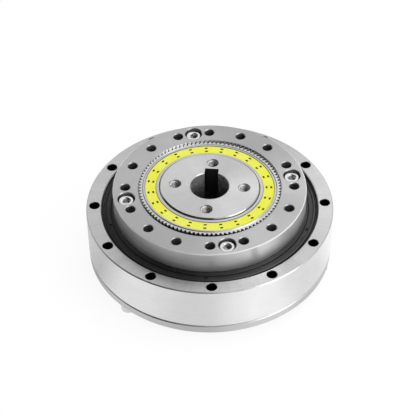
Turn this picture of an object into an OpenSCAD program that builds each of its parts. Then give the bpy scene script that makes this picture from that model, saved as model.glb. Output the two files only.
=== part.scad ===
// Strain wave gear unit with a hat-shaped flexspline and a crossed-roller output bearing.
// The outer ring and the flexspline's flange stand still. The wave generator is the input,
// and the circular spline, bolted to the bearing's inner ring, is the output.
// Z is the axis of rotation, and Z = 0 is the flange face that bolts to a machine.
// Angles are in degrees and turn counterclockwise from +X, seen from above.

/* [Teeth] */
// Tooth module
tooth_module = 0.5; // [0.49:0.005:0.51]
// Teeth on the flexspline, an even number
flexspline_teeth = 100; // [96:2:104]
// Height of a tooth above its pitch line
tooth_addendum = 0.4; // [0.3:0.01:0.41]
// Depth of a tooth space below the pitch line
tooth_dedendum = 0.5; // [0.45:0.01:0.55]
// Slope of a tooth flank from the radius
flank_angle = 30; // [26:1:31]
// How much each flank is set back for backlash
flank_setback = 0.02; // [0.01:0.005:0.04]
// Corner cut at a tooth's tip
tip_cut = 0.08; // [0.04:0.01:0.1]
// Length of the flexspline's teeth along the axis
tooth_length = 9; // [8:0.25:9.5]
// How far the oval rim leaves the circle, in and out
deflection = 0.45; // [0.42:0.01:0.48]

/* [Flexspline] */
// Thickness of the rim under the teeth
rim_t = 0.5; // [0.4:0.05:0.6]
// Thickness of the cup's wall
wall_t = 0.5; // [0.4:0.05:0.6]
// Thickness of the diaphragm
diaphragm_t = 0.6; // [0.5:0.05:0.8]
// Recess of the diaphragm above the flange face
diaphragm_recess = 0.8; // [0.6:0.1:1]
// Radius of the bend from the diaphragm to the cup
bend_r = 1.4; // [1:0.1:1.6]
// Thickness of the bolting flange
flange_t = 3.2; // [3:0.1:3.6]
// Width of the bolting flange from its rim inwards
flange_w = 8; // [7:0.25:8.5]
// How far the flange's rim stands inside the outer ring's rim
flange_inset = 0.1; // [0.05:0.05:0.3]
// Chamfer on the flange's upper rim
flange_chamfer = 0.6; // [0.3:0.1:0.8]

/* [Circular spline] */
// Diameter of the circular spline, from which the rings around it are built
output_d = 70; // [69.6:0.2:74]
// Thickness of the circular spline
spline_t = 10; // [9.75:0.25:11]
// Width from the bolt circle to the rim
spline_rim = 4.5; // [4.2:0.1:5]
// Height of the circular spline's face above the outer ring's face
spline_rise = 8.5; // [7.5:0.25:9]
// Height of the rim's lower part, where the seal's lip runs
seal_track_h = 2; // [1.8:0.1:2.4]
// Chamfer on the circular spline's upper rim
spline_chamfer = 0.3; // [0.2:0.1:0.5]
// Chamfer on the upper ends of the circular spline's teeth
tooth_chamfer = 0.9; // [0.3:0.1:1]
// Number of output bolt holes
output_holes = 16; // [8:4:16]
// Turn of the output's hole pattern
output_turn = -0.6; // [-5:0.1:5]

/* [Outer ring] */
// Height of the outer ring
ring_h = 16.8; // [16.4:0.2:18]
// Width from the ring's upper bore to the bolt circle
ring_land = 2.5; // [2.4:0.1:3]
// Width from the bolt circle to the rim
ring_rim = 3; // [2.8:0.1:4]
// Number of housing bolt holes
housing_holes = 12; // [6:6:12]
// Chamfer on the ring's rims
ring_chamfer = 0.35; // [0.2:0.05:0.5]

/* [Crossed-roller bearing] */
// Diameter of a roller
roller_d = 5; // [4.6:0.1:5.2]
// End play of a roller between its raceways
roller_end_play = 0.2; // [0.2:0.05:0.3]
// Number of rollers, an even number
rollers = 36; // [32:2:36]
// Height of the rollers above the flange
roller_height = 7; // [6.6:0.1:7.4]
// Gap between the bearing's rings beside the rollers
bearing_gap = 0.8; // [0.8:0.1:1.2]
// Diameter of a spacer between two rollers
spacer_d = 4; // [3.4:0.1:4.2]
// Clearance between the inner ring's bore and the cup
cup_gap = 2.1; // [1.6:0.1:2.4]
// Clearance between the inner ring and the diaphragm
diaphragm_gap = 1.6; // [1.2:0.1:2]
// Diameter of the filling plug above the roller's
plug_margin = 0.5; // [0.3:0.1:0.8]
// Diameter of the pin that holds the filling plug
plug_pin_d = 2; // [1.5:0.1:2.4]

/* [Seal] */
// Radial width of the seal
seal_w = 4.5; // [4.2:0.1:5]
// Height of the seal
seal_h = 3.7; // [3.4:0.1:4]
// How far the seal sits below the outer ring's face
seal_recess = 0.7; // [0.5:0.1:1]
// Thickness of the seal's walls
seal_wall = 1; // [0.8:0.05:1.1]
// Height of the outer lip above the seal's face
lip_rise = 0.9; // [0.6:0.1:1.1]
// Number of small recesses in the seal's face
seal_marks = 5; // [3:1:15]
// Turn of those recesses
seal_turn = -21; // [-36:0.5:36]

/* [Wave generator] */
// Diameter of the input bore
bore_d = 14; // [11:0.5:15]
// Width of the keyway
key_w = 5; // [4:0.5:6]
// Depth of the keyway beyond the bore
key_depth = 2.3; // [1.8:0.1:2.6]
// Direction of the keyway
key_turn = 83.9; // [0:0.1:180]
// Direction of the oval's long axis
oval_turn = -23; // [-90:0.5:90]
// How far the plug's face stands above the circular spline's face
plug_rise = 0.5; // [0.1:0.1:1]
// Length of the plug along the axis
plug_h = 12; // [11:0.5:13]
// Diameter of the plug's bolt circle
plug_bolt_circle = 25; // [24.5:0.25:26]
// Diameter of the plug's threaded holes
plug_bolt_d = 4; // [3:0.5:4]
// Width of the flexible bearing's races
race_h = 8.7; // [8:0.1:9]
// Thickness of the inner race at its shoulders
inner_race_t = 1.3; // [1.1:0.02:1.5]
// Thickness of the outer race at its shoulders
outer_race_t = 0.84; // [0.8:0.02:1]
// Depth of the ball grooves
groove_depth = 0.18; // [0.15:0.01:0.25]
// Diameter of a ball
ball_d = 4.45; // [4.2:0.05:4.5]
// Number of balls
balls = 23; // [19:1:23]
// Turn of the row of balls
ball_turn = -1.4; // [-7:0.1:7]
// Gap between the cage and each race
cage_gap = 0.14; // [0.1:0.02:0.3]
// Width of the cage's small notches over each ball, across the cage
mark_w = 0.7; // [0.4:0.1:0.8]
// Length of the notches, along the cage
mark_l = 1.1; // [0.6:0.1:1.4]
// Depth of the notches
mark_depth = 0.35; // [0.2:0.05:0.5]
// Distance between the two notches of a pair
mark_gap = 1.7; // [1.5:0.1:1.9]

/* [Fasteners] */
// Diameter of the bolts through the outer ring and the circular spline
bolt_d = 3; // [2.5:0.25:3]
// Clearance of a bolt in a plain hole, on the diameter
bolt_play = 0.5; // [0.2:0.1:0.6]
// Clearance of the unit's own screws in their plain holes, on the diameter
screw_play = 0.1; // [0.05:0.05:0.15]
// Diameter of a screw's head
head_d = 5.5; // [4.8:0.1:5.8]
// Height of a screw's head
head_h = 3; // [2.6:0.1:3.2]
// Width across the flats of a screw's socket
socket_w = 2.5; // [2:0.1:2.8]
// Clearance round a screw's head in its counterbore, on the diameter
head_play = 0.7; // [0.4:0.1:0.8]
// How far an output screw's head sits below the circular spline's face
head_recess = 1; // [0.4:0.1:1.2]
// Length of an output screw under its head
output_screw_l = 12; // [11:0.5:12]
// Length of a flange screw under its head
flange_screw_l = 8; // [7:0.5:9]

/* [Clearances] */
// Radial clearance of parts that are pressed or screwed together
fit = 0.02; // [0.01:0.005:0.03]
// Clearance of rollers and balls in their tracks
rolling_play = 0.03; // [0.02:0.005:0.05]

/* [Hidden] */
$fn = 96;

EPS = 0.01;            // overlap of a cutting tool past the face that it opens
THROUGH = 60;          // longer than any part
OVAL_STEPS = 96;       // straight sides that make up an oval
CUP_STEPS = 7;         // steps in which the cup's wall turns from round to oval
CUP_SIDES = 64;        // straight sides of each such step
CUP_LAP = 0.15;        // how far a step reaches into the one above and the one below
CUP_INSET = 0.04;      // how far the steps lie inside the surfaces of the brim and the rim
LOBES = 2;             // the oval touches the circular spline in two places
ARC_STEPS = 5;         // straight pieces in a rounded corner or groove
HOLE_CHAMFER = 0.25;   // width of the chamfer at a hole's mouth
EDGE = 0.3;            // small chamfer on bearing parts

// Radii, worked out from the teeth outwards
circular_teeth = flexspline_teeth + LOBES;
flex_pitch_r = tooth_module * flexspline_teeth / 2;
circular_pitch_r = tooth_module * circular_teeth / 2;
circular_root_r = circular_pitch_r + tooth_dedendum;
output_r = output_d / 2;
output_bolt_r = output_r - spline_rim;
seal_track_r = output_r - bearing_gap / 2;
seal_seat_r = output_r + seal_w;
housing_bolt_r = seal_seat_r + ring_land;
housing_r = housing_bolt_r + ring_rim;

// Radii, worked out from the teeth inwards
flex_root_r = flex_pitch_r - tooth_dedendum;
rim_inner_r = flex_root_r - rim_t;
cup_outer_r = rim_inner_r + wall_t;
outer_race_r = rim_inner_r - fit;
outer_shoulder_r = outer_race_r - outer_race_t;
ball_track_r = outer_shoulder_r + groove_depth - ball_d / 2 - rolling_play;
inner_shoulder_r = ball_track_r - ball_d / 2 - rolling_play + groove_depth;
inner_race_bore_r = inner_shoulder_r - inner_race_t;
cam_r = inner_race_bore_r - fit;

// Heights
ring_top = flange_t + ring_h;
spline_top = ring_top + spline_rise;
spline_bottom = spline_top - spline_t;
rim_top = spline_top - 0.1;
rim_bottom = rim_top - tooth_length;
plug_top = spline_top + plug_rise;
plug_bottom = plug_top - plug_h;
race_top = spline_top;
race_bottom = race_top - race_h;
plug_lip = 0.8;        // thickness of the rim that the inner race stands on
ball_z = race_bottom + race_h / 2;
seat_floor = spline_top - head_recess - head_h;
seal_top = ring_top - seal_recess;
seal_bottom = seal_top - seal_h;
roller_z = flange_t + roller_height;
diaphragm_top = diaphragm_recess + diaphragm_t;
inner_ring_bottom = diaphragm_top + diaphragm_gap;

// Crossed-roller bearing
track_r = output_r;
half_diagonal = (roller_d / 2 + rolling_play) * sqrt(2);
inner_ring_bore_r = cup_outer_r + deflection + cup_gap;
roller_l = roller_d - roller_end_play;
plug_hole_r = (roller_d + plug_margin) / 2;
plug_angle = 75;
flange_screw_turn = -15;
flange_screw_count = 3;
output_screw_count = 4;
output_screw_turn = 180 / output_holes;
hole_d = bolt_d + bolt_play;
screw_hole_d = bolt_d + screw_play;
thread_r = bolt_d / 2 + fit;

// ---- helpers ----

module around(n, r, turn = 0) {
    for (k = [0 : n - 1]) rotate(turn + 360 * k / n) translate([r, 0, 0]) children();
}

// A ring turned on the axis: r0 and r1 are its bore and rim, and the chamfers are
// bottom and top at the rim, then bottom and top at the bore.
module ring(r0, r1, z0, z1, rim_low = 0, rim_high = 0, bore_low = 0, bore_high = 0) {
    rotate_extrude() polygon([
        [r0 + bore_low, z0], [r1 - rim_low, z0], [r1, z0 + rim_low],
        [r1, z1 - rim_high], [r1 - rim_high, z1], [r0 + bore_high, z1],
        [r0, z1 - bore_high], [r0, z0 + bore_low]]);
}

// A drill with a chamfered mouth at z1, and one at z0 if it goes through.
module drill(d, z0, z1, low = false) {
    translate([0, 0, z0 - (low ? EPS : 0)])
        cylinder(d = d, h = z1 - z0 + EPS + (low ? EPS : 0));
    translate([0, 0, z1 - HOLE_CHAMFER])
        cylinder(r1 = d / 2, r2 = d / 2 + HOLE_CHAMFER + EPS, h = HOLE_CHAMFER + EPS);
    if (low) translate([0, 0, z0 - EPS])
        cylinder(r1 = d / 2 + HOLE_CHAMFER + EPS, r2 = d / 2, h = HOLE_CHAMFER + EPS);
}

// The oval's radius in direction a, for a mean radius r. Share scales how oval it is.
function oval_radius(r, a, share = 1) = r + share * deflection * cos(LOBES * (a - oval_turn));
function oval(r, share = 1, sides = OVAL_STEPS) = [for (k = [0 : sides - 1])
    let (a = 360 * k / sides) oval_radius(r, a, share) * [cos(a), sin(a)]];

module oval_plate(r, z0, z1) {
    translate([0, 0, z0]) linear_extrude(z1 - z0) polygon(oval(r));
}

// A solid oval slice whose mean radius goes from r0 at z0 to r1 at z1.
module oval_frustum(r0, z0, r1, z1) {
    n = OVAL_STEPS;
    low = [for (p = oval(r0)) [p[0], p[1], z0]];
    high = [for (p = oval(r1)) [p[0], p[1], z1]];
    sides = [for (k = [0 : n - 1]) [k, n + k, n + (k + 1) % n, (k + 1) % n]];
    polyhedron(concat(low, high),
        concat([[for (k = [0 : n - 1]) k], [for (k = [n - 1 : -1 : 0]) n + k]], sides));
}

// An oval ring swept from a profile of [mean radius, height, share] points, listed
// clockwise when radius runs right and height runs up.
module oval_sweep(profile) {
    n = len(profile);
    points = [for (k = [0 : OVAL_STEPS - 1], p = profile)
        let (a = 360 * k / OVAL_STEPS, r = oval_radius(p[0], a, p[2]))
        [r * cos(a), r * sin(a), p[1]]];
    faces = [for (k = [0 : OVAL_STEPS - 1], j = [0 : n - 1])
        let (next = (k + 1) % OVAL_STEPS, up = (j + 1) % n)
        [k * n + j, next * n + j, next * n + up, k * n + up]];
    polyhedron(points, faces, convexity = 4);
}

// ---- teeth ----

// One tooth as [along, out] points from its pitch line, in order along the pitch line.
function tooth_outline() =
    let (slope = tan(flank_angle),
        at_pitch = PI * tooth_module / 4 - flank_setback,
        at_root = at_pitch + tooth_dedendum * slope,
        at_tip = at_pitch - tooth_addendum * slope)
    [[-at_root, -tooth_dedendum], [-at_tip - tip_cut * slope, tooth_addendum - tip_cut],
     [-at_tip + tip_cut, tooth_addendum], [at_tip - tip_cut, tooth_addendum],
     [at_tip + tip_cut * slope, tooth_addendum - tip_cut], [at_root, -tooth_dedendum]];

// A flexspline tooth keeps its place on the rim while the rim bends: its foot moves out,
// along and round as an oval bend without stretch moves it.
function bent_tooth(a) =
    let (out = deflection * cos(LOBES * a),
        along = -deflection / LOBES * sin(LOBES * a),
        tilt = (LOBES - 1 / LOBES) * deflection * sin(LOBES * a) / neutral_r * 180 / PI,
        foot = (neutral_r + out) * [1, 0] + along * [0, 1])
    [for (p = tooth_outline())
        let (up = flex_pitch_r - neutral_r + p[1],
            x = foot[0] + up * cos(tilt) - p[0] * sin(tilt),
            y = foot[1] + up * sin(tilt) + p[0] * cos(tilt),
            b = a + oval_turn)
        [x * cos(b) - y * sin(b), x * sin(b) + y * cos(b)]];
neutral_r = rim_inner_r + rim_t / 2;

function flexspline_outline() =
    [for (k = [0 : flexspline_teeth - 1]) each bent_tooth(360 * k / flexspline_teeth)];

// The circular spline's teeth point inwards, with a tooth space on the oval's long axis.
function circular_outline() =
    [for (k = [0 : circular_teeth - 1], p = tooth_outline())
        let (b = 360 * (k + 0.5) / circular_teeth + oval_turn, r = circular_pitch_r - p[1])
        [r * cos(b) - p[0] * sin(b), r * sin(b) + p[0] * cos(b)]];

// ---- fixed parts ----

// The square channel that the rollers run in, standing on one corner.
module roller_channel(play = 0) {
    h = half_diagonal + play;
    rotate_extrude() polygon([[track_r - h, roller_z], [track_r, roller_z - h],
        [track_r + h, roller_z], [track_r, roller_z + h]]);
}

module filling_hole(r, r0, r1) {
    rotate(plug_angle) translate([r0, 0, roller_z]) rotate([0, 90, 0])
        cylinder(r = r, h = r1 - r0);
}

module bearing_outer_ring() {
    bore_r = track_r + bearing_gap / 2;
    color("gainsboro") difference() {
        rotate_extrude() polygon([
            [bore_r, flange_t], [housing_r - ring_chamfer, flange_t],
            [housing_r, flange_t + ring_chamfer], [housing_r, ring_top - ring_chamfer],
            [housing_r - ring_chamfer, ring_top], [seal_seat_r + EDGE, ring_top],
            [seal_seat_r, ring_top - EDGE], [seal_seat_r, seal_bottom], [bore_r, seal_bottom]]);
        roller_channel();
        around(housing_holes, housing_bolt_r) drill(hole_d, flange_t, ring_top, low = true);
        around(flange_screw_count, housing_bolt_r, flange_screw_turn)
            translate([0, 0, flange_t - EPS])
                cylinder(r = thread_r, h = flange_screw_l - flange_t + 1);
        filling_hole(plug_hole_r, track_r, housing_r + 1);
        rotate(plug_angle) translate([housing_bolt_r, 0, flange_t - EPS])
            cylinder(d = plug_pin_d, h = roller_z + plug_hole_r + 1 - flange_t);
    }
}

module filling_plug() {
    color("silver") difference() {
        filling_hole(plug_hole_r - fit, track_r, housing_r - ring_chamfer);
        roller_channel();
        cylinder(r = track_r + bearing_gap / 2, h = THROUGH);
        rotate(plug_angle) translate([housing_bolt_r, 0, 0]) cylinder(d = plug_pin_d, h = THROUGH);
    }
}

module filling_plug_pin() {
    color("silver") rotate(plug_angle) translate([housing_bolt_r, 0, flange_t + 0.2])
        cylinder(r = plug_pin_d / 2 - fit, h = roller_z + plug_hole_r + 0.5 - flange_t);
}

// The hat's brim: flange, diaphragm and the bend into the cup, with the cup's first stretch.
module hat_brim() {
    inner = flange_edge_r() - flange_w;
    outer_bend = [for (s = [0 : ARC_STEPS]) let (a = 270 - 90 * s / ARC_STEPS)
        [cup_outer_r + bend_r + bend_r * cos(a), diaphragm_top + bend_r + bend_r * sin(a)]];
    inside_r = bend_r + diaphragm_t;
    inner_bend = [for (s = [0 : ARC_STEPS]) let (a = 180 + 90 * s / ARC_STEPS)
        [rim_inner_r + inside_r + inside_r * cos(a),
         diaphragm_recess + inside_r + inside_r * sin(a)]];
    rotate_extrude() polygon(concat(
        [[inner + EDGE, 0], [flange_edge_r(), 0], [flange_edge_r(), flange_t - flange_chamfer],
         [flange_edge_r() - flange_chamfer, flange_t], [inner + 1, flange_t],
         [inner - 1, diaphragm_top]],
        outer_bend, [[cup_outer_r, cup_foot], [rim_inner_r, cup_foot]], inner_bend,
        [[inner - 1, diaphragm_recess]]));
}
cup_foot = diaphragm_top + bend_r + 1;
function flange_edge_r() = housing_r - flange_inset;

// The cup's wall turns from round at its foot to oval at the teeth, in small steps.
module cup_wall() {
    step = (rim_bottom - cup_foot) / CUP_STEPS;
    for (k = [0 : CUP_STEPS - 1]) translate([0, 0, cup_foot + k * step - CUP_LAP])
        linear_extrude(step + 2 * CUP_LAP) difference() {
            polygon(oval(cup_outer_r - CUP_INSET, (k + 0.5) / CUP_STEPS, CUP_SIDES));
            polygon(oval(rim_inner_r + CUP_INSET, (k + 0.5) / CUP_STEPS, CUP_SIDES));
        }
}

module flexspline() {
    color("lightgray") difference() {
        union() {
            hat_brim();
            cup_wall();
            translate([0, 0, rim_bottom]) linear_extrude(tooth_length) difference() {
                polygon(flexspline_outline());
                polygon(oval(rim_inner_r));
            }
        }
        around(housing_holes, housing_bolt_r)
            translate([0, 0, -EPS]) cylinder(d = hole_d, h = flange_t + 2 * EPS);
        around(flange_screw_count, housing_bolt_r, flange_screw_turn)
            translate([0, 0, -EPS]) cylinder(d = screw_hole_d, h = flange_t + 2 * EPS);
    }
}

// A socket head cap screw with its head's underside at z = 0 and its head upwards.
module cap_screw(length) {
    difference() {
        union() {
            translate([0, 0, -length + EDGE]) cylinder(d = bolt_d, h = length - EDGE + EPS);
            translate([0, 0, -length]) cylinder(d1 = bolt_d - 2 * EDGE, d2 = bolt_d, h = EDGE);
            rotate_extrude() polygon([[0, 0], [head_d / 2, 0], [head_d / 2, head_h - EDGE],
                [head_d / 2 - EDGE, head_h], [0, head_h]]);
        }
        translate([0, 0, head_h / 2]) cylinder(d = socket_w / cos(30), h = head_h, $fn = 6);
        translate([0, 0, head_h - EDGE]) cylinder(d1 = socket_w, d2 = socket_w + 3 * EDGE, h = EDGE + EPS);
    }
}

module flange_screws() {
    color("whitesmoke") around(flange_screw_count, housing_bolt_r, flange_screw_turn)
        rotate([180, 0, 0]) cap_screw(flange_screw_l);
}

// A rubber lip seal: a leg pressed into the outer ring, a face with a rib and a step,
// a dust lip on the circular spline and a main lip on the inner ring.
module output_seal() {
    seat = seal_seat_r - fit;
    lip = seal_track_r + fit;
    face = seal_top - 0.3;
    rib = seat - 1.45;
    channel = face - 0.55;
    step = output_r + 0.97;
    color("#222222") difference() {
        rotate_extrude() polygon([
            [seat, seal_bottom], [seat, channel - 0.15], [seat - 0.15, channel],
            [rib + 0.4, channel], [rib + 0.35, seal_top - 0.25], [rib + 0.1, seal_top],
            [rib - 0.1, seal_top], [rib - 0.35, seal_top - 0.25], [rib - 0.4, face], [step + 0.2, face],
            [step + 0.1, face - 0.3], [step - 0.1, face - 0.3], [step - 0.2, face],
            [lip + 0.25, face + lip_rise], [lip, face + lip_rise - 0.05], [lip, face + lip_rise - 0.5],
            [lip + 0.5, face - seal_wall * 0.6], [lip + 0.35, seal_bottom + 1.2],
            [lip, seal_bottom + 0.9], [lip, seal_bottom + 0.7], [lip + 0.6, seal_bottom + 0.4],
            [lip + 1.3, face - seal_wall], [seat - seal_wall, face - seal_wall],
            [seat - seal_wall, seal_bottom]]);
        around(seal_marks, (rib + step) / 2, seal_turn)
            translate([-0.45, -0.6, face - 0.4]) cube([0.9, 1.2, 1]);
    }
}

// ---- output ----

module circular_spline() {
    color("lightgray") difference() {
        union() {
            ring(flex_root_r, output_r, spline_bottom + seal_track_h, spline_top, 0, spline_chamfer);
            ring(flex_root_r, seal_track_r, spline_bottom, spline_bottom + seal_track_h + EPS);
        }
        translate([0, 0, spline_bottom - EPS]) linear_extrude(spline_t + 2 * EPS)
            polygon(circular_outline());
        translate([0, 0, spline_top - tooth_chamfer])
            cylinder(r1 = circular_root_r - tooth_chamfer, r2 = circular_root_r + EPS,
                h = tooth_chamfer + EPS);
        around(output_holes, output_bolt_r, output_turn)
            drill(hole_d, spline_bottom, spline_top, low = true);
        around(output_screw_count, output_bolt_r, output_turn + output_screw_turn) {
            translate([0, 0, spline_bottom - EPS]) cylinder(d = screw_hole_d, h = THROUGH);
            drill(head_d + head_play, seat_floor, spline_top);
        }
    }
}

module output_screws() {
    color("whitesmoke") around(output_screw_count, output_bolt_r, output_turn + output_screw_turn)
        translate([0, 0, seat_floor]) cap_screw(output_screw_l);
}

module bearing_inner_ring() {
    color("silver") difference() {
        rotate_extrude() polygon([
            [inner_ring_bore_r + EDGE, inner_ring_bottom],
            [seal_track_r - EDGE, inner_ring_bottom],
            [seal_track_r, inner_ring_bottom + EDGE], [seal_track_r, spline_bottom],
            [inner_ring_bore_r, spline_bottom], [inner_ring_bore_r, inner_ring_bottom + EDGE]]);
        roller_channel();
        around(output_holes, output_bolt_r, output_turn) thread_hole();
        around(output_screw_count, output_bolt_r, output_turn + output_screw_turn) thread_hole();
    }
}

module thread_hole() {
    depth = output_screw_l - (seat_floor - spline_bottom) + 0.5;
    translate([0, 0, spline_bottom - depth]) cylinder(r = thread_r, h = depth + EPS);
}

// ---- crossed rollers ----

module roller(lean, play = 0) {
    rotate([0, lean, 0]) rotate_extrude() polygon([
        [0, -roller_l / 2], [roller_d / 2 - EDGE, -roller_l / 2],
        [roller_d / 2 + play, -roller_l / 2 + EDGE], [roller_d / 2 + play, roller_l / 2 - EDGE],
        [roller_d / 2 - EDGE, roller_l / 2], [0, roller_l / 2]]);
}

module crossed_rollers(lean, turn) {
    color("silver") translate([0, 0, roller_z]) around(rollers / 2, track_r, turn) roller(lean);
}

module crossed_rollers_up() {
    crossed_rollers(45, 0);
}

module crossed_rollers_down() {
    crossed_rollers(-45, 360 / rollers);
}

// A spacer fills the gap between two rollers and is hollowed to fit both.
module roller_spacers() {
    half_pitch = 180 / rollers;
    thick = 2 * track_r * sin(half_pitch) - roller_d;
    color("dimgray") translate([0, 0, roller_z]) for (k = [0 : rollers - 1])
        rotate(360 * k / rollers + half_pitch) difference() {
            translate([track_r, 0, 0]) rotate([90, 0, 0])
                cylinder(d = spacer_d, h = thick + roller_d / 3, center = true);
            for (side = [-1, 1]) rotate(side * half_pitch) translate([track_r, 0, 0])
                rotate([0, (k % 2 == 0 ? -side : side) * 45, 0])
                    cylinder(r = roller_d / 2 + rolling_play, h = 2 * roller_d, center = true);
        }
}

// ---- wave generator ----

module wave_plug() {
    shoulder_r = inner_race_bore_r + inner_race_t / 2;
    color("lightgray") difference() {
        union() {
            oval_plate(shoulder_r, race_bottom - plug_lip, race_bottom);
            oval_plate(cam_r, race_bottom - plug_lip, plug_top - EDGE);
            oval_frustum(cam_r, plug_top - EDGE, cam_r - EDGE, plug_top);
            ring(bore_d / 4, cam_r - 1.2, plug_bottom, race_bottom, EDGE);
        }
        translate([0, 0, plug_bottom - EPS]) cylinder(d = bore_d, h = plug_h + 2 * EPS);
        translate([0, 0, plug_top - HOLE_CHAMFER])
            cylinder(d1 = bore_d, d2 = bore_d + 2 * HOLE_CHAMFER + EPS, h = HOLE_CHAMFER + EPS);
        rotate(key_turn) translate([0, -key_w / 2, plug_bottom - EPS])
            cube([bore_d / 2 + key_depth, key_w, plug_h + 2 * EPS]);
        around(4, plug_bolt_circle / 2, key_turn) {
            translate([0, 0, plug_bottom - EPS]) cylinder(d = plug_bolt_d, h = THROUGH);
            translate([0, 0, plug_top - HOLE_CHAMFER])
                cylinder(d1 = plug_bolt_d, d2 = plug_bolt_d + 2 * HOLE_CHAMFER + EPS,
                    h = HOLE_CHAMFER + EPS);
        }
    }
}

// Half of a ball groove's opening along the axis, and the arc that hollows a race.
groove_r = ball_d / 2 + 2 * rolling_play;
groove_half = sqrt(2 * groove_r * groove_depth - pow(groove_depth, 2));
function groove(floor_r, side) =
    let (spread = asin(groove_half / groove_r))
    [for (s = [0 : ARC_STEPS]) let (a = spread * (1 - 2 * s / ARC_STEPS))
        [floor_r - side * groove_r * (1 - cos(a)), ball_z + groove_r * sin(a), 1]];

module wave_inner_race() {
    color("gainsboro") oval_sweep(concat(
        [[inner_race_bore_r, race_bottom, 1], [inner_race_bore_r, race_top - EDGE, 1],
         [inner_race_bore_r + EDGE, race_top, 1], [inner_shoulder_r, race_top, 1]],
        groove(inner_shoulder_r - groove_depth, -1), [[inner_shoulder_r, race_bottom, 1]]));
}

module wave_outer_race() {
    color("gainsboro") oval_sweep(concat(
        [[outer_shoulder_r, race_bottom, 1]],
        reversed(groove(outer_shoulder_r + groove_depth, 1)),
        [[outer_shoulder_r, race_top, 1], [outer_race_r - EDGE, race_top, 1],
         [outer_race_r, race_top - EDGE, 1], [outer_race_r, race_bottom, 1]]));
}

function reversed(list) = [for (k = [len(list) - 1 : -1 : 0]) list[k]];

function ball_angle(k) = 360 * k / balls + ball_turn;

module wave_balls() {
    color("white") for (k = [0 : balls - 1])
        rotate(ball_angle(k)) translate([oval_radius(ball_track_r, ball_angle(k)), 0, ball_z])
            sphere(d = ball_d, $fn = 48);
}

// A cage that snaps over the balls: a closed rim towards the output face, with fingers
// between the balls that are hollowed to hold them.
module wave_cage() {
    top = race_top - 0.2;
    rim_low = ball_z + ball_d / 2 + 0.15;
    color("yellow") {
        difference() {
            translate([0, 0, rim_low]) linear_extrude(top - rim_low) difference() {
                polygon(oval(outer_shoulder_r - cage_gap));
                polygon(oval(inner_shoulder_r + cage_gap));
            }
            for (k = [0 : balls - 1]) rotate(ball_angle(k)) for (side = [-1, 1])
                translate([oval_radius(ball_track_r, ball_angle(k)) + side * mark_gap / 2, 0, top])
                    cube([mark_w, mark_l, 2 * mark_depth], center = true);
        }
        for (k = [0 : balls - 1]) cage_finger(ball_angle(k) + 180 / balls, rim_low + 0.3);
    }
}

module cage_finger(a, top) {
    low = ball_z - ball_d * 0.3;
    pocket_r = ball_d / 2 + 2 * rolling_play;
    depth = outer_shoulder_r - inner_shoulder_r - 2 * cage_gap - 0.5;
    rotate(a) translate([oval_radius(ball_track_r, a), 0, 0]) difference() {
        translate([-depth / 2, -ball_d * 0.4, low]) cube([depth, ball_d * 0.8, top - low]);
        for (side = [-1, 1]) translate([0, side * ball_track_r * sin(180 / balls), ball_z])
            rotate([0, 90, side * 180 / balls]) cylinder(r = pocket_r, h = 3 * ball_d, center = true);
    }
}

bearing_outer_ring();
flexspline();
flange_screws();
output_seal();
filling_plug();
filling_plug_pin();
circular_spline();
output_screws();
bearing_inner_ring();
crossed_rollers_up();
crossed_rollers_down();
roller_spacers();
wave_plug();
wave_inner_race();
wave_outer_race();
wave_balls();
wave_cage();
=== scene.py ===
"""The look of a strain wave gear unit: steel, iron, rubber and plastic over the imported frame.

Everything is in metres. Z is the axis of rotation and Z = 0 is the flange's lower face.
"""

import math

import bmesh
import bpy
from mathutils import Matrix, Vector


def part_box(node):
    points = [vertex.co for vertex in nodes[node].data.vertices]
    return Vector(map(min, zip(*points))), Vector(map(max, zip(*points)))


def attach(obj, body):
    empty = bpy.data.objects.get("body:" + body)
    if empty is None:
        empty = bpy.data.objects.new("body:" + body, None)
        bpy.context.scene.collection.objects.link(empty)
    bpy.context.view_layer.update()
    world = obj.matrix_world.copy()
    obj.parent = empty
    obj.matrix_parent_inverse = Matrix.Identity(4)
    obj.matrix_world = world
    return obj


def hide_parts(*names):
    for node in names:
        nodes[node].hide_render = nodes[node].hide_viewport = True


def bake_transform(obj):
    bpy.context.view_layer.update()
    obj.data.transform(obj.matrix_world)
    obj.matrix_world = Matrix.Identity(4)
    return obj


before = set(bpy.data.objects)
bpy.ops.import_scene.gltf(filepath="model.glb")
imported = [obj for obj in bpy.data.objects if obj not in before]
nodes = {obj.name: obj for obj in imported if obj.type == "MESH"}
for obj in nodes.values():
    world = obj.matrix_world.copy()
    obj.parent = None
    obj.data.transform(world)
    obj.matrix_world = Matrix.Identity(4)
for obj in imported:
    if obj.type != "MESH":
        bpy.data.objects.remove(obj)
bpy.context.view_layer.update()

MM = 0.001


# ---- heights, read from the frame ----


def top_of(node):
    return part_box(node)[1].z


OUTER_TOP = top_of("bearing_outer_ring")
SPLINE_TOP = top_of("circular_spline")
PLUG_TOP = top_of("wave_plug")
PLUG_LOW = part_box("wave_plug")[0].z
CAGE_TOP = top_of("wave_cage")
RIM_TOP = top_of("flexspline")
FOOT_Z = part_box("flange_screws")[0].z


# ---- holes: their number, the first one's direction in degrees, and their circle's radius ----

HOUSING_HOLES = (12, 0.0, 42 * MM)
FLANGE_SCREWS = (3, -15.0, 42 * MM)
OUTPUT_TURN = -0.6
OUTPUT_CIRCLE = 30.5 * MM
OUTPUT_HOLES = (16, OUTPUT_TURN, OUTPUT_CIRCLE)
OUTPUT_SCREWS = (4, OUTPUT_TURN + 11.25, OUTPUT_CIRCLE)
KEY_TURN = 83.9
PLUG_HOLES = (4, KEY_TURN, 12.5 * MM)
HOLE_R = 1.75 * MM
HEAD_HOLE_R = 3.1 * MM
COUNTERSINK_R = 2.4 * MM
SOCKET_R = 1.42 * MM


# ---- radii and heights at which a piece's finish or painted shade changes ----

EDGE = 0.05 * MM
RING_BORE_R = 39.6 * MM
SEAL_SHADE_HEIGHT = 3.5 * MM
SPLINE_CHAMFER_R = 34 * MM
SPLINE_TEETH_R = 26.3 * MM
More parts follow.
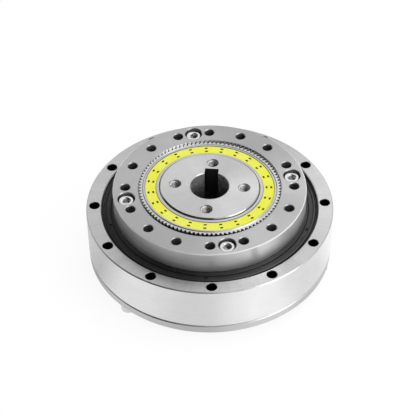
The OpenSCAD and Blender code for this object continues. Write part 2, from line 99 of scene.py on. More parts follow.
# Depths below the circular spline's face over which the painted shade on its teeth turns from dark
# to light.
TOOTH_SHADE_DEPTH, TOOTH_LIGHT_DEPTH = 3.6 * MM, 1.0 * MM
CUP_TEETH_R = (23.7 * MM, 26.5 * MM)
CUP_TEETH_Z = 19 * MM
PLUG_FACE_R = 10 * MM
BORE_SHADE_DEPTH, BORE_LIGHT_DEPTH = 11 * MM, 3 * MM
KEYWAY_R = 7.05 * MM
PLUG_CHAMFER_R = 16 * MM
RACE_EDGE_R = 18.5 * MM
# The seal's moulded rings, painted lighter as a sheen: inner radius, outer radius and tone.
SEAL_SHEEN_BANDS = ((36.2 * MM, 37.7 * MM, 0.022), (35.0 * MM, 35.9 * MM, 0.016))
SEAL_GROOVE = 0.45 * MM
NOTCH_R = (19.35 * MM, 23.0 * MM)
NOTCH_FLOOR_DEPTH, NOTCH_EDGE_DEPTH = 0.45 * MM, 0.05 * MM


# ---- material helpers ----

TINY_R = 0.1 * MM
RING_FINENESS = 9000.0
CLOUDS, GRAIN = 85.0, 5200.0
GRAIN_SHARE = 0.03
# Radius that finds sharp edges, and how much lighter they are made, partly as wear and partly as a
# painted highlight.
EDGE_FIND_RADIUS, EDGE_WEAR_AND_HIGHLIGHT = 0.2 * MM, 1.12
BRIGHTEST = 0.93
ANISOTROPY = 0.6
# Near black: painted shade on the walls of holes.
HOLE_SHADE_TONE = 0.02


class Shader:
    """A material under construction, with short calls for the nodes that it needs."""

    def __init__(self, name):
        self.material = bpy.data.materials.new(name)
        self.material.use_nodes = True
        self.tree = self.material.node_tree
        self.bsdf = self.tree.nodes["Principled BSDF"]
        coords = self.node("ShaderNodeTexCoord")
        self.position = coords.outputs["Object"]
        self.x, self.y, self.z = self.split(self.position)
        self.radius = self.length(self.x, self.y)
        self.turn = self.math("ARCTAN2", self.y, self.x)
        self.up = self.math("ABSOLUTE", self.split(coords.outputs["Normal"])[2])
        self.bumps = None

    # -- single nodes --

    def node(self, kind, **settings):
        made = self.tree.nodes.new(kind)
        for key, value in settings.items():
            setattr(made, key, value)
        return made

    def put(self, socket, value):
        if isinstance(value, bpy.types.NodeSocket):
            self.tree.links.new(value, socket)
        else:
            socket.default_value = value

    def set(self, **values):
        for key, value in values.items():
            self.put(self.bsdf.inputs[key.replace("_", " ")], value)

    def math(self, operation, a, b=0.0, c=0.0):
        made = self.node("ShaderNodeMath", operation=operation)
        for socket, value in zip(made.inputs, (a, b, c)):
            self.put(socket, value)
        return made.outputs[0]

    def times(self, a, b):
        return self.math("MULTIPLY", a, b)

    def plus(self, a, b):
        return self.math("ADD", a, b)

    def less(self, a, b):
        return self.math("SUBTRACT", a, b)

    def most(self, a, b):
        return self.math("MAXIMUM", a, b)

    def length(self, a, b):
        return self.math("SQRT", self.plus(self.times(a, a), self.times(b, b)))

    def split(self, vector):
        made = self.node("ShaderNodeSeparateXYZ")
        self.put(made.inputs[0], vector)
        return made.outputs

    def joined(self, *parts):
        made = self.node("ShaderNodeCombineXYZ")
        for socket, part in zip(made.inputs, parts):
            self.put(socket, part)
        return made.outputs[0]

    def grey(self, tone):
        made = self.node("ShaderNodeCombineColor")
        for socket in made.inputs:
            self.put(socket, tone)
        return made.outputs[0]

    def ramp(self, value, low, high, to_low=0.0, to_high=1.0):
        made = self.node("ShaderNodeMapRange", clamp=True)
        for key, item in (("Value", value), ("From Min", low), ("From Max", high),
                          ("To Min", to_low), ("To Max", to_high)):
            self.put(made.inputs[key], item)
        return made.outputs[0]

    def mixed(self, data_type, inputs, output, values):
        made = self.node("ShaderNodeMix", data_type=data_type)
        for index, value in zip(inputs, values):
            self.put(made.inputs[index], value)
        return made.outputs[output]

    def lerp(self, share, a, b):
        """The number a where the share is 0, and b where it is 1."""
        return self.mixed("FLOAT", (0, 2, 3), 0, (share, a, b))

    def mix(self, share, a, b):
        """The colour a where the share is 0, and b where it is 1."""
        return self.mixed("RGBA", (0, 6, 7), 2, (share, a, b))

    def noise(self, vector, scale, detail=2.0, roughness=0.5):
        made = self.node("ShaderNodeTexNoise")
        for key, value in (("Vector", vector), ("Scale", scale), ("Detail", detail),
                           ("Roughness", roughness)):
            self.put(made.inputs[key], value)
        return made.outputs["Fac"]

    # -- masks: 1 in a region and 0 elsewhere --

    def below(self, value, limit, soft=EDGE):
        """1 up to a limit, and 0 from a soft step past it."""
        return self.ramp(value, limit, limit + soft, 1.0, 0.0)

    def above(self, value, limit, soft=EDGE):
        """0 up to a limit, and 1 from a soft step past it."""
        return self.ramp(value, limit, limit + soft)

    def between(self, value, low, high, soft=0.02 * MM):
        """1 where low < value < high, with soft ends."""
        return self.times(self.ramp(value, low - soft, low + soft),
                          self.ramp(value, high - soft, high + soft, 1.0, 0.0))

    def wall(self):
        """1 on faces that stand upright."""
        return self.ramp(self.up, 0.1, 0.3, 1.0, 0.0)

    def steep(self):
        """1 on upright faces and on steep chamfers."""
        return self.ramp(self.up, 0.3, 0.6, 1.0, 0.0)

    def off_level(self):
        """1 on all that isn't a level face."""
        return self.ramp(self.up, 0.9, 0.97, 1.0, 0.0)

    def level(self):
        """1 on level faces."""
        return self.ramp(self.up, 0.8, 0.95)

    def slope(self):
        """1 on chamfers and cones."""
        return self.times(self.ramp(self.up, 0.2, 0.4), self.ramp(self.up, 0.85, 0.97, 1.0, 0.0))

    def near_hole(self, holes, radius, soft=EDGE):
        """1 within a radius of the axes of holes that are spaced round a circle."""
        count, turn, circle = holes
        sector = 2 * math.pi / count
        turned = self.math("WRAP", self.less(self.turn, math.radians(turn)), sector / 2, -sector / 2)
        along = self.less(self.times(self.radius, self.math("COSINE", turned)), circle)
        across = self.times(self.radius, self.math("SINE", turned))
        return self.below(self.length(along, across), radius, soft)

    # -- texture --

    def vary(self, noise, low, high):
        """A number that a noise moves between two limits."""
        return self.ramp(noise, 0.3, 0.7, low, high)

    def direction(self):
        """The two parts of the direction from the axis."""
        safe = self.most(self.radius, TINY_R)
        return [self.math("DIVIDE", part, safe) for part in (self.x, self.y)]

    def lathe_marks(self):
        """Noise drawn out round the axis, as a tool's or a grinding wheel's rings are."""
        around = [self.times(part, 0.9) for part in self.direction()]
        across = self.times(self.plus(self.radius, self.z), RING_FINENESS)
        return self.noise(self.joined(*around, across), 1.0, 3.0, 0.7)

    def spokes(self, fineness):
        """Noise that changes only with the direction from the axis: fine, it gives brushed rays;
        broad, it paints light and dark sectors as the reflected fans of a turned face.
        """
        return self.noise(self.joined(*self.direction()), fineness, 3.0, 0.6)

    def cavity(self, reach):
        """1 in the open and towards 0 deep in this piece's own holes and corners."""
        made = self.node("ShaderNodeAmbientOcclusion", only_local=True, samples=8)
        made.inputs["Distance"].default_value = reach
        return made.outputs["AO"]

    def edges(self):
        """1 at sharp edges and 0 on smooth ground, from the bevelled normal."""
        bevel = self.node("ShaderNodeBevel", samples=4)
        bevel.inputs["Radius"].default_value = EDGE_FIND_RADIUS
        geometry = self.node("ShaderNodeNewGeometry")
        dot = self.node("ShaderNodeVectorMath", operation="DOT_PRODUCT")
        self.put(dot.inputs[0], bevel.outputs[0])
        self.put(dot.inputs[1], geometry.outputs["Normal"])
        return self.ramp(dot.outputs["Value"], 0.995, 0.9)

    def bump(self, height, strength, distance):
        """Relief on top of the relief that the material already has."""
        made = self.node("ShaderNodeBump")
        made.inputs["Strength"].default_value = strength
        made.inputs["Distance"].default_value = distance
        self.put(made.inputs["Height"], height)
        if self.bumps is not None:
            self.put(made.inputs["Normal"], self.bumps)
        self.bumps = made.outputs["Normal"]
        self.put(self.bsdf.inputs["Normal"], self.bumps)

    def ring_gloss(self):
        """Gloss that spreads across the rings which a lathe or grinder leaves."""
        tangent = self.node("ShaderNodeTangent", direction_type="RADIAL", axis="Z")
        self.set(Anisotropic=ANISOTROPY, Anisotropic_Rotation=0.25, Tangent=tangent.outputs[0])

    def machined(self, tone, rough, marks=0.06, blotch=0.05, ringed=True, hollow_shade=0.35,
                 reach=2.5 * MM):
        """Finish of a machined metal whose plain tone is given: rings, clouds, painted shade deep in
        its own holes and corners, and edges lighter as wear and as a painted highlight.
        """
        rings = self.lathe_marks()
        cloud = self.noise(self.position, CLOUDS, 4.0, 0.6)
        grain = self.noise(self.position, GRAIN, 2.0, 0.6)
        for part, share in ((rings, marks), (cloud, blotch), (grain, GRAIN_SHARE)):
            tone = self.times(tone, self.ramp(part, 0.25, 0.75, 1 - share, 1 + share))
        # Painted shade: the tone darkens deep in this piece's own holes and corners.
        tone = self.times(tone, self.ramp(self.cavity(reach), 0.1, 0.75, hollow_shade, 1.0))
        # Sharp edges are lighter: partly wear, partly a painted highlight.
        worn_and_highlit = self.times(tone, self.ramp(self.edges(), 0.0, 1.0, 1.0, EDGE_WEAR_AND_HIGHLIGHT))
        self.set(Base_Color=self.grey(self.math("MINIMUM", worn_and_highlit, BRIGHTEST)), Metallic=1.0)
        uneven = self.plus(self.times(rings, 0.6), self.times(cloud, 0.4))
        self.set(Roughness=self.times(rough, self.vary(uneven, 0.85, 1.15)))
        self.bump(rings, 0.12, 0.04 * MM)
        self.bump(grain, 0.1, 0.02 * MM)
        if ringed:
            self.ring_gloss()
        return self.material


# ---- metals ----


def outer_ring_steel():
    s = Shader("ground_ring_steel")
    wall_tone, bore_shade_tone = 0.85, 0.3
    # Broad light and dark sectors on the face are a painted reflection of a turned face's fans; the
    # fine ones are brushed rays.
    face = s.times(s.vary(s.spokes(2.2), 0.44, 0.53), s.vary(s.spokes(45.0), 0.95, 1.05))
    tone = s.lerp(s.wall(), face, wall_tone)
    # Painted shade: the walls of the housing holes are near black.
    in_hole = s.near_hole(HOUSING_HOLES, HOLE_R + EDGE, 0.3 * MM)
    tone = s.lerp(s.times(in_hole, s.off_level()), tone, HOLE_SHADE_TONE)
    # Painted shade: the bore's wall above the seal is darker.
    bore = s.times(s.below(s.radius, RING_BORE_R, 0.2 * MM), s.wall())
    tone = s.lerp(bore, tone, bore_shade_tone)
    return s.machined(tone, 0.3)


def spline_iron():
    s = Shader("turned_spline_iron")
    painted_rim_tone, hole_tone, head_hole_shade_tone = 0.9, 0.35, 0.2
    # Painted reflection and shade: the lower part of its wall, which stands close to the black seal,
    # is darker.
    side = s.ramp(s.z, OUTER_TOP, OUTER_TOP + SEAL_SHADE_HEIGHT, 0.46, 0.78)
    # Broad light and dark sectors on the face are a painted reflection of a turned face's fans.
    tone = s.lerp(s.wall(), s.vary(s.spokes(1.8), 0.4, 0.45), side)
    # Painted highlight: the outer chamfer is lighter.
    rim = s.times(s.slope(), s.above(s.radius, SPLINE_CHAMFER_R, 0.4 * MM))
    tone = s.lerp(rim, tone, painted_rim_tone)
    # Painted shade: the walls of the output holes are darker.
    hole = s.times(s.near_hole(OUTPUT_HOLES, HOLE_R + EDGE), s.steep())
    tone = s.lerp(hole, tone, hole_tone)
    # Painted shade: the counterbores for the screw heads are darker still.
    head_hole = s.times(s.near_hole(OUTPUT_SCREWS, HEAD_HOLE_R + EDGE), s.steep())
    tone = s.lerp(head_hole, tone, head_hole_shade_tone)
    # Painted shade: the teeth darken with depth below the face.
    teeth = s.times(s.below(s.radius, SPLINE_TEETH_R, 0.2 * MM), s.steep())
    shade = s.ramp(s.z, SPLINE_TOP - TOOTH_SHADE_DEPTH, SPLINE_TOP - TOOTH_LIGHT_DEPTH, 0.15, 0.93)
    tone = s.lerp(teeth, tone, shade)
    s.set(Specular_Tint=(0.1, 0.1, 0.1, 1))
    face_rough, wall_rough, rim_rough, teeth_rough = 0.36, 0.4, 0.8, 0.55
    rough = s.lerp(rim, s.lerp(s.wall(), face_rough, wall_rough), rim_rough)
    return s.machined(tone, s.lerp(teeth, rough, teeth_rough))


def flexspline_steel():
    s = Shader("flexspline_steel")
    face_tone, wall_tone, teeth_shade_tone = 0.55, 0.62, 0.04
    tone = s.lerp(s.wall(), face_tone, wall_tone)
    # Painted shade: the upright faces of the teeth are near black.
    teeth = s.times(s.between(s.radius, *CUP_TEETH_R), s.above(s.z, CUP_TEETH_Z, 0.5 * MM))
    tone = s.lerp(s.times(teeth, s.wall()), tone, teeth_shade_tone)
    # Painted shade: the walls of its holes are near black.
    hole = s.near_hole(HOUSING_HOLES, HOLE_R + EDGE)
    tone = s.lerp(s.times(hole, s.wall()), tone, HOLE_SHADE_TONE)
    return s.machined(tone, 0.36)


def plug_steel():
    s = Shader("turned_plug_steel")
    keyway_shade_tone, painted_rim_tone, mouth_shade_tone, hole_tone = 0.05, 0.42, 0.25, 0.8
    # Broad light and dark sectors on the face are a painted reflection of a turned face's fans.
    tone = s.vary(s.spokes(1.5), 0.5, 0.56)
    # Painted shade: the bore darkens with depth, and pits also vary its tone.
    bore = s.times(s.below(s.radius, PLUG_FACE_R, 0.2 * MM), s.wall())
    pits = s.ramp(s.noise(s.position, 900.0, 3.0, 0.7), 0.35, 0.7, 0.3, 0.7)
    depth = s.ramp(s.z, PLUG_TOP - BORE_SHADE_DEPTH, PLUG_TOP - BORE_LIGHT_DEPTH, 0.35, 1.0)
    tone = s.lerp(bore, tone, s.times(depth, pits))
    # Painted shade: the keyway is near black.
    keyway = s.times(s.above(s.radius, KEYWAY_R, 0.1 * MM), bore)
    tone = s.lerp(keyway, tone, keyway_shade_tone)
    # Painted shade: the outer chamfer is darker, a dark line round the plug.
    rim = s.times(s.slope(), s.above(s.radius, PLUG_CHAMFER_R, 0.5 * MM))
    tone = s.lerp(rim, tone, painted_rim_tone)
    # Painted shade: the countersinks of the tapped holes are darker.
    near = s.near_hole(PLUG_HOLES, COUNTERSINK_R, 0.1 * MM)
    mouth, hole = s.times(near, s.slope()), s.times(near, s.wall())
    tone = s.lerp(mouth, tone, mouth_shade_tone)
    tone = s.lerp(hole, tone, hole_tone)
    face_rough, bore_rough, rim_rough = 0.34, 0.5, 0.15
    rough = s.lerp(rim, s.lerp(s.most(hole, bore), face_rough, bore_rough), rim_rough)
    return s.machined(tone, rough, hollow_shade=0.12)


def thread_steel():
    s = Shader("tapped_thread_steel")
    return s.machined(0.65, 0.3, marks=0.0, blotch=0.1, ringed=False, hollow_shade=0.3, reach=1.5 * MM)


def race_steel():
    s = Shader("race_steel")
    face_tone, wall_tone, edge_shade_tone = 0.5, 0.3, 0.08
    face_rough, edge_rough = 0.28, 0.15
    # Painted shade: the inner chamfer is dark, a dark line beside the plug.
    inner_edge = s.times(s.slope(), s.below(s.radius, RACE_EDGE_R, 0.2 * MM))
    tone = s.lerp(inner_edge, s.lerp(s.wall(), face_tone, wall_tone), edge_shade_tone)
    return s.machined(tone, s.lerp(inner_edge, face_rough, edge_rough), marks=0.04)


def bearing_steel():
    s = Shader("polished_bearing_steel")
    return s.machined(0.6, 0.14, marks=0.02, blotch=0.03, ringed=False, hollow_shade=0.5)


def inner_ring_steel():
    s = Shader("inner_ring_steel")
    face_tone = 0.4
    # Painted shade: the walls of its holes are near black.
    holes = s.most(s.near_hole(OUTPUT_HOLES, HOLE_R), s.near_hole(OUTPUT_SCREWS, HOLE_R))
    return s.machined(s.lerp(s.times(holes, s.wall()), face_tone, HOLE_SHADE_TONE), 0.26)


def screw_steel(name, screws):
    """Zinc-plated cap screws; the sockets are painted darker inside as shade."""
    s = Shader(name)
    head_tone, socket_shade_tone = 0.72, 0.5
    # Painted shade: the sockets are darker.
    socket = s.times(s.near_hole(screws, SOCKET_R, 0.08 * MM), s.steep())
    return s.machined(s.lerp(socket, head_tone, socket_shade_tone), 0.24, marks=0.0, blotch=0.08,
                      ringed=False, hollow_shade=0.2, reach=1.5 * MM)


# ---- rubber and plastics ----


def rubber():
    s = Shader("nitrile_rubber")
    cloud = s.noise(s.position, 260.0, 4.0, 0.65)
    fine = s.noise(s.position, 4200.0, 3.0, 0.6)
    tone = s.ramp(cloud, 0.35, 0.7, 0.006, 0.014)
    # Painted sheen: the level faces of the moulded rings are lighter.
    for low, high, shade in SEAL_SHEEN_BANDS:
        band = s.times(s.between(s.radius, low, high, 0.08 * MM), s.level())
        tone = s.lerp(band, tone, s.vary(cloud, shade * 0.7, shade * 1.3))
    grooves = s.math("SINE", s.times(s.radius, 2 * math.pi / SEAL_GROOVE))
    s.set(Base_Color=s.grey(tone), Metallic=0.0, Roughness=s.vary(cloud, 0.28, 0.42),
          Specular_IOR_Level=0.65)
    s.bump(grooves, 0.8, 0.08 * MM)
    s.bump(fine, 0.25, 0.04 * MM)
    return s.material


def yellow_plastic():
    s = Shader("yellow_polyamide")
    deep, plain, pale = (0.9, 0.91, 0.05, 1), (0.93, 0.92, 0.11, 1), (0.96, 0.95, 0.22, 1)
    pocket_shade = (0.03, 0.03, 0.01, 1)
    cloud = s.noise(s.position, 260.0, 3.0, 0.6)
    patch = s.noise(s.position, 60.0, 2.0, 0.5)
    grain = s.noise(s.position, 3800.0, 2.0, 0.5)
    base = s.mix(s.ramp(patch, 0.4, 0.6), deep, plain)
    base = s.mix(s.ramp(cloud, 0.45, 0.75, 0.0, 0.5), base, pale)
    # Painted shade: the notches in the cage are near black.
    notch = s.times(s.between(s.radius, *NOTCH_R),
                    s.between(s.z, CAGE_TOP - NOTCH_FLOOR_DEPTH, CAGE_TOP - NOTCH_EDGE_DEPTH))
    base = s.mix(s.times(notch, 0.95), base, pocket_shade)
    s.set(Base_Color=base, Metallic=0.0, Roughness=s.vary(cloud, 0.35, 0.5),
          Specular_IOR_Level=0.35, Subsurface_Weight=0.1, Subsurface_Scale=0.001)
    s.bump(grain, 0.2, 0.03 * MM)
    return s.material


def dark_plastic():
    s = Shader("spacer_plastic")
    cloud = s.noise(s.position, 400.0, 3.0, 0.6)
    s.set(Base_Color=s.grey(s.vary(cloud, 0.02, 0.05)), Metallic=0.0,
          Roughness=s.vary(cloud, 0.45, 0.6))
    s.bump(s.noise(s.position, 3000.0), 0.2, 0.03 * MM)
    return s.material


# ---- what each CAD piece is made of ----

OUTER_STEEL = outer_ring_steel()
FLEX_STEEL = flexspline_steel()
RACE_STEEL = race_steel()
BEARING_STEEL = bearing_steel()

MATERIALS = {
    "bearing_outer_ring": OUTER_STEEL,
    "filling_plug": OUTER_STEEL,
    "filling_plug_pin": BEARING_STEEL,
    "output_seal": rubber(),
    "flange_screws": screw_steel("plated_screw_flange", FLANGE_SCREWS),
    "flexspline": FLEX_STEEL,
    "circular_spline": spline_iron(),
    "output_screws": screw_steel("plated_screw_output", OUTPUT_SCREWS),
    "bearing_inner_ring": inner_ring_steel(),
    "crossed_rollers_up": BEARING_STEEL,
    "crossed_rollers_down": BEARING_STEEL,
    "roller_spacers": dark_plastic(),
    "wave_plug": plug_steel(),
    "wave_inner_race": RACE_STEEL,
    "wave_outer_race": RACE_STEEL,
    "wave_balls": BEARING_STEEL,
    "wave_cage": yellow_plastic(),
}

for node, material in MATERIALS.items():
    surface = nodes[node].data
    surface.materials.clear()
    surface.materials.append(material)


# ---- mesh helpers ----

SMOOTH_ANGLE = math.radians(30)


def linked(name, data):
    made = bpy.data.objects.new(name, data)
    bpy.context.scene.collection.objects.link(made)
    return made


def finished(bm, name, material):
    mesh = bpy.data.meshes.new(name)
    bmesh.ops.recalc_face_normals(bm, faces=bm.faces)
    bm.to_mesh(mesh)
    bm.free()
    mesh.materials.append(material)
    mesh.shade_smooth()
    mesh.set_sharp_from_angle(angle=SMOOTH_ANGLE)
    return linked(name, mesh)


def lofted(bm, rings, closed=False):
    """Faces between rings of equally many points; closed joins the last ring to the first."""
    rows = [[bm.verts.new(p) for p in ring] for ring in rings]
    pairs = list(zip(rows, rows[1:])) + ([(rows[-1], rows[0])] if closed else [])
    for low, high in pairs:
        n = len(low)
        for k in range(n):
            bm.faces.new((low[k], low[(k + 1) % n], high[(k + 1) % n], high[k]))
    return rows


# ---- the flexspline, whose rim the wave generator bends oval; here at one fixed turn ----

TEETH = 100
MODULE = 0.5 * MM
DEFLECTION = 0.45 * MM
OVAL_TURN = math.radians(-23)
ROOT_R, BORE_R = 24.5 * MM, 24.0 * MM
RIM_LENGTH = 9 * MM
RIM_LOW = RIM_TOP - RIM_LENGTH
RIM_BEVEL = 0.12 * MM
TOOTH_TIP, TOOTH_ROOT = 0.4 * MM, 0.5 * MM
TOOTH_PLAY, TIP_ROUNDING = 0.02 * MM, 0.08 * MM
FLANK = math.tan(math.radians(30))
CUP_FOOT = 3.0 * MM
CUP_RINGS, CUP_SIDES = 48, 180
# The wall reaches into the rim, and its skins lie inside the rim's, so that none coincide.
CUP_OVERLAP, CUP_SKIN = 0.3 * MM, 0.01 * MM
CUP_REACH_R = 30 * MM
SAME_HEIGHT, SAME_POINT = 0.01 * MM, 1e-7


def oval(radius, angle, share=1.0):
    return radius + share * DEFLECTION * math.cos(2 * (angle - OVAL_TURN))


def tooth_outline():
    """One tooth as (along, out) points from its pitch line, tip edges rounded off."""
    half = math.pi * MODULE / 4 - TOOTH_PLAY
    root, tip = half + TOOTH_ROOT * FLANK, half - TOOTH_TIP * FLANK
    cut = TIP_ROUNDING
    right = [(tip - cut, TOOTH_TIP), (tip + cut * FLANK * 0.4, TOOTH_TIP - cut * 0.35),
             (tip + cut * FLANK * 1.4, TOOTH_TIP - cut * 1.4), (half, 0.0), (root, -TOOTH_ROOT)]
    return [(-x, y) for x, y in reversed(right)] + right


def toothed_ring():
    """The rim's outline: each tooth moves and tilts as an oval bend moves it."""
    neutral = (ROOT_R + BORE_R) / 2
    ring = []
    for k in range(TEETH):
        turn = 2 * math.pi * k / TEETH
        out = DEFLECTION * math.cos(2 * turn)
        along = -DEFLECTION / 2 * math.sin(2 * turn)
        tilt = 1.5 * DEFLECTION * math.sin(2 * turn) / neutral
        for x, y in tooth_outline():
            up = MODULE * TEETH / 2 - neutral + y
            px = neutral + out + up * math.cos(tilt) - x * math.sin(tilt)
            py = along + up * math.sin(tilt) + x * math.cos(tilt)
            b = turn + OVAL_TURN
            ring.append((px * math.cos(b) - py * math.sin(b), px * math.sin(b) + py * math.cos(b)))
    return ring


def flat_ring(points, z):
    return [(x, y, z) for x, y in points]


def oval_points(radius, angles, share=1.0):
    return [(oval(radius, a, share) * math.cos(a), oval(radius, a, share) * math.sin(a))
            for a in angles]


def cup_ring(radius, z):
    """A ring of the cup's wall, which is round at its foot and oval at the rim."""
    angles = [2 * math.pi * k / CUP_SIDES for k in range(CUP_SIDES)]
    share = min(1, (z - CUP_FOOT) / (RIM_LOW - CUP_FOOT))
    return flat_ring(oval_points(radius, angles, share), z)


def scaled(points, factor):
    return [(x * factor, y * factor) for x, y in points]


def flexspline_cup():
    """Cup wall and toothed rim. The wall turns from round to oval on its way up."""
    bm = bmesh.new()
    teeth = toothed_ring()
    inside = oval_points(BORE_R, [math.atan2(y, x) for x, y in teeth])
    shrunk = scaled(teeth, 1 - RIM_BEVEL / ROOT_R)
    wide = scaled(inside, 1 + RIM_BEVEL / BORE_R)
    lofted(bm, [flat_ring(inside, RIM_LOW), flat_ring(shrunk, RIM_LOW),
                flat_ring(teeth, RIM_LOW + RIM_BEVEL), flat_ring(teeth, RIM_TOP - RIM_BEVEL),
                flat_ring(shrunk, RIM_TOP), flat_ring(wide, RIM_TOP),
                flat_ring(inside, RIM_TOP - RIM_BEVEL)], closed=True)
    height = RIM_LOW + CUP_OVERLAP - CUP_FOOT
    levels = [CUP_FOOT + height * k / CUP_RINGS for k in range(CUP_RINGS + 1)]
    outer = [cup_ring(ROOT_R - CUP_SKIN, z) for z in levels]
    inner = [cup_ring(BORE_R + CUP_SKIN, z) for z in reversed(levels)]
    lofted(bm, outer + inner, closed=True)
    return finished(bm, "flexspline_cup", FLEX_STEEL)


def flexspline_brim():
    """The flange, diaphragm and bend, as the solid has them."""
    bm = bmesh.new()
    bm.from_mesh(nodes["flexspline"].data)
    wall = [f for f in bm.faces
            if all(v.co.z > CUP_FOOT - SAME_HEIGHT and v.co.xy.length < CUP_REACH_R
                   for v in f.verts)]
    bmesh.ops.delete(bm, geom=wall, context="FACES")
    bmesh.ops.remove_doubles(bm, verts=bm.verts, dist=SAME_POINT)
    return finished(bm, "flexspline_brim", FLEX_STEEL)


cup = flexspline_cup()
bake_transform(cup)
brim = flexspline_brim()
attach(brim, "housing")
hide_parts("flexspline")
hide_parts("flexspline")


# ---- the threads in the plug's four tapped holes ----

THREAD_PITCH = 0.7 * MM
THREAD_ROOT, THREAD_CREST = 1.99 * MM, 1.64 * MM
THREAD_FLANK, THREAD_FLAT = 0.24 * MM, 0.04 * MM
THREAD_SIDES = 28
THREAD_INSET = 0.5 * MM


def tapped_thread(bm, x, y, low, high):
    """One internal thread: a ridge wound up the wall of a hole."""
    foot = THREAD_FLANK + THREAD_FLAT
    profile = ((THREAD_ROOT, -foot), (THREAD_CREST, -THREAD_FLAT), (THREAD_CREST, THREAD_FLAT),
               (THREAD_ROOT, foot))
    steps = int((high - low) / THREAD_PITCH * THREAD_SIDES)
    rings = []
    for k in range(steps + 1):
        a = 2 * math.pi * k / THREAD_SIDES
        z = low + THREAD_PITCH * k / THREAD_SIDES
        rings.append([(x + r * math.cos(a), y + r * math.sin(a), z + dz) for r, dz in profile])
    rows = lofted(bm, rings)
    bm.faces.new(rows[0])
    bm.faces.new(rows[-1])


def plug_threads():
    bm = bmesh.new()
    count, turn, circle = PLUG_HOLES
    for k in range(count):
        a = math.radians(turn) + 2 * math.pi * k / count
        tapped_thread(bm, circle * math.cos(a), circle * math.sin(a), PLUG_LOW + THREAD_INSET,
                      PLUG_TOP - THREAD_INSET)
    return finished(bm, "plug_threads", thread_steel())


threads = plug_threads()
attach(threads, "wave_generator")


# ---- stage and light ----

WHITE = 1.0
WORLD_LEVEL = 0.55
FLOOR_HALF = 1.5
# No light gets under the object, so inside the first radius the floor, which shows through
# the bore, is dark. From the second radius on it is open.
FLOOR_DARK_R, FLOOR_OPEN_R = 30 * MM, 38 * MM
FLOOR_DARK, FLOOR_PALE = 0.02, 0.9
FLOOR_SHARE, FLOOR_GLOW = 0.85, 1.05
# Level of the floor's glow in metal, by degrees from the front round to the right.
STREAKS = ((-180, 0.8), (-90, 0.7), (-75, 0.58), (-55, 0.95), (-35, 0.92), (-15, 0.76),
           (0, 0.76), (22, 1.1), (38, 1.1), (52, 0.85), (72, 0.85), (88, 1.1), (180, 0.8))
# The stops of a colour ramp hold the levels divided by this, because they end at 1.
STREAK_SCALE = 2
# Dark cards that show in gloss only: name and corners.
FLAGS = (
    ("side_flag", [(-0.45, -0.75, 0.15), (-0.45, 0.62, 0.15), (-0.45, 0.62, 0.6),
                   (-0.45, -0.75, 0.6)]),
    ("top_flag", [(-0.45, -0.75, 0.6), (0.06, -0.75, 0.6), (0.06, 0.12, 0.6),
                  (-0.45, 0.12, 0.6)]),
)
# Lamps: name, place, size, and brightness as a mirror would show it, white being 1.
SOFTBOXES = (
    ("overhead", (0.12, 0.10, 0.62), (0.35, 0.35), 2.0),
    ("key", (0.5, -0.3, 0.4), (0.4, 0.5), 2.0),
    ("rim", (0.3, 0.52, 0.35), (0.3, 0.4), 1.5),
)
LAMP_AIM = Vector((0, 0, 0.01))


def studio_world():
    """White where it is seen or mirrored, and a soft fill light elsewhere."""
    world = bpy.data.worlds.new("studio")
    bpy.context.scene.world = world
    world.use_nodes = True
    tree = world.node_tree
    background = tree.nodes["Background"]
    background.inputs["Color"].default_value = (1, 1, 1, 1)
    path = tree.nodes.new("ShaderNodeLightPath").outputs
    seen = path["Is Camera Ray"]
    for kind in ("Is Glossy Ray", "Is Transmission Ray"):
        either = tree.nodes.new("ShaderNodeMath")
        either.operation = "MAXIMUM"
        tree.links.new(seen, either.inputs[0])
        tree.links.new(path[kind], either.inputs[1])
        seen = either.outputs[0]
    strength = tree.nodes.new("ShaderNodeMapRange")
    strength.inputs["To Min"].default_value = WORLD_LEVEL
    strength.inputs["To Max"].default_value = WHITE
    tree.links.new(seen, strength.inputs["Value"])
    tree.links.new(strength.outputs[0], background.inputs["Strength"])


def square(name, corners):
    mesh = bpy.data.meshes.new(name)
    mesh.from_pydata(corners, [], [(0, 1, 2, 3)])
    return linked(name, mesh)


def streak_levels(s):
    """Level of the floor's glow, by the direction from the axis."""
    spread = s.math("ARCTAN2", s.x, s.times(s.y, -1))
    streaks = s.node("ShaderNodeValToRGB")
    s.put(streaks.inputs[0], s.ramp(spread, -math.pi, math.pi))
    stops = streaks.color_ramp.elements
    while len(stops) < len(STREAKS):
        stops.new(0.5)
    for stop, (degrees, glow) in zip(stops, STREAKS):
        stop.position = degrees / 360 + 0.5
        stop.color = (glow / STREAK_SCALE, glow / STREAK_SCALE, glow / STREAK_SCALE, 1)
    return s.times(streaks.outputs[0], STREAK_SCALE)


def shader_mix(s, share, first, second):
    made = s.node("ShaderNodeMixShader")
    for socket, value in zip(made.inputs, (share, first, second)):
        s.put(socket, value)
    return made.outputs[0]


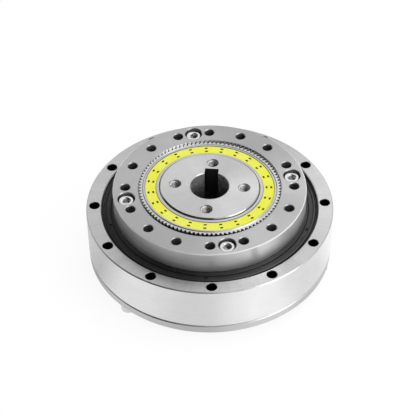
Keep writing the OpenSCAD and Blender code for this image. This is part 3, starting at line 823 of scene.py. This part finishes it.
def floor():
    """Pale floor. Seen directly or in metal it is mostly its own white, and keeps the shadow.

    Round the object it glows unevenly in metal only, which the turned walls mirror as streaks.
    Its underside lets the view through.
    """
    half = FLOOR_HALF
    made = square("floor", [(-half, -half, FOOT_Z), (half, -half, FOOT_Z), (half, half, FOOT_Z),
                            (-half, half, FOOT_Z)])
    s = Shader("white_floor")
    tone = s.ramp(s.radius, FLOOR_DARK_R, FLOOR_OPEN_R, FLOOR_DARK, FLOOR_PALE)
    s.set(Base_Color=s.grey(tone), Roughness=0.9, Specular_IOR_Level=0.2)
    path = s.node("ShaderNodeLightPath").outputs
    glossy = path["Is Glossy Ray"]
    glow = s.node("ShaderNodeEmission")
    s.put(glow.inputs["Strength"], s.lerp(glossy, FLOOR_GLOW, streak_levels(s)))
    open_floor = s.ramp(s.radius, FLOOR_DARK_R, FLOOR_OPEN_R, 0.0, FLOOR_SHARE)
    share = s.times(s.most(path["Is Camera Ray"], glossy), open_floor)
    upper = shader_mix(s, share, s.bsdf.outputs[0], glow.outputs[0])
    under = s.node("ShaderNodeBsdfTransparent").outputs[0]
    from_below = s.node("ShaderNodeNewGeometry").outputs["Backfacing"]
    s.put(s.tree.nodes["Material Output"].inputs["Surface"],
          shader_mix(s, from_below, upper, under))
    made.data.materials.append(s.material)


def flag(name, corners):
    """A dark card beside the object that only shows in its gloss, as in a photo studio."""
    made = square(name, corners)
    card = Shader(name + "_card")
    card.set(Base_Color=(0.05, 0.05, 0.05, 1), Roughness=1.0, Specular_IOR_Level=0.0)
    made.data.materials.append(card.material)
    for kind in ("camera", "diffuse", "shadow", "transmission", "volume_scatter"):
        setattr(made, "visible_" + kind, False)


def softbox(name, place, size, brightness):
    """A rectangular lamp that faces the object."""
    data = bpy.data.lights.new(name, "AREA")
    data.shape = "RECTANGLE"
    data.size, data.size_y = size
    data.energy = brightness * math.pi * size[0] * size[1]
    made = linked(name, data)
    made.location = place
    made.rotation_euler = (LAMP_AIM - Vector(place)).to_track_quat("-Z", "Y").to_euler()


studio_world()
floor()
for name, corners in FLAGS:
    flag(name, corners)
for name, place, size, brightness in SOFTBOXES:
    softbox(name, place, size, brightness)


# ---- camera ----

# The photograph's view: 43 degrees above, with a small turn and roll.
CAMERA_ELEVATION, CAMERA_TURN, CAMERA_ROLL = (math.radians(a) for a in (42.82, -0.51, -0.44))
CAMERA_DISTANCE = 0.5116
CAMERA_AIM = Vector((-0.00064, -0.00216, OUTER_TOP))
SENSOR_MM, LENS_MM = 36, 121.72


def camera():
    back = Vector((0, -math.cos(CAMERA_ELEVATION), math.sin(CAMERA_ELEVATION)))
    right = Vector((1, 0, 0))
    basis = Matrix((right, back.cross(right), back)).transposed()
    rolled = (basis @ Matrix.Rotation(CAMERA_ROLL, 3, "Z")).to_4x4()
    place = Matrix.Translation(CAMERA_AIM + back * CAMERA_DISTANCE)
    data = bpy.data.cameras.new("camera")
    data.sensor_width = SENSOR_MM
    data.lens = LENS_MM
    made = linked("camera", data)
    made.matrix_world = Matrix.Rotation(CAMERA_TURN, 4, "Z") @ place @ rolled
    bpy.context.scene.camera = made


camera()
bpy.context.scene.view_settings.view_transform = "Standard"
